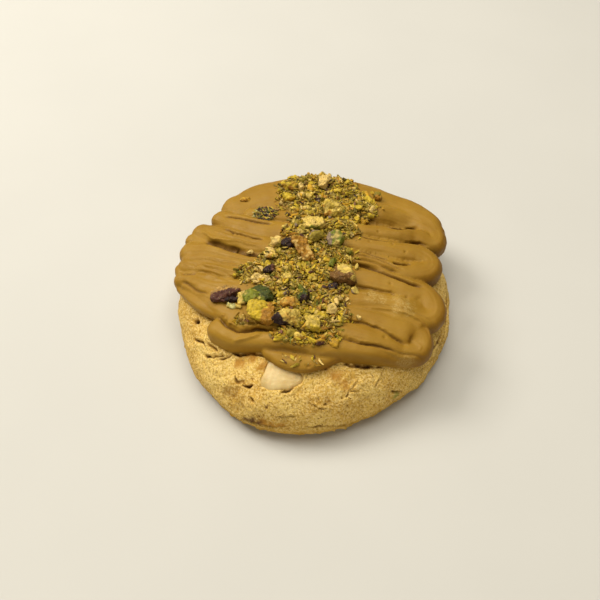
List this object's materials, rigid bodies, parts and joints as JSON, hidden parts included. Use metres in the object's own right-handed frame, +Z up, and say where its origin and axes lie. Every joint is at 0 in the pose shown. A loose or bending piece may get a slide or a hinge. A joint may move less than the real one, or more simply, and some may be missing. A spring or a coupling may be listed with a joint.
{
  "type": "pistachio cookie",
  "caption": "Thick round dough cookie with piped nut cream in a close zigzag over the top, chopped pistachios pressed into it and a white chocolate lump in the shoulder.",
  "frame": {"origin": "centre of the flat underside", "axes": "+Z up out of the top, -Y towards the side where the dough is bare, +X to the right seen from there"},
  "size_m": [0.092, 0.0938, 0.0285],
  "materials": {
    "dough": "matte, sandy baked crust",
    "cream": "satin nut cream",
    "white_chocolate": "waxy, pale cream"
  },
  "bodies": {
    "root": {"cookie": "dough", "frosting": "cream", "white_chocolate": "white_chocolate"}
  },
  "joints": []
}
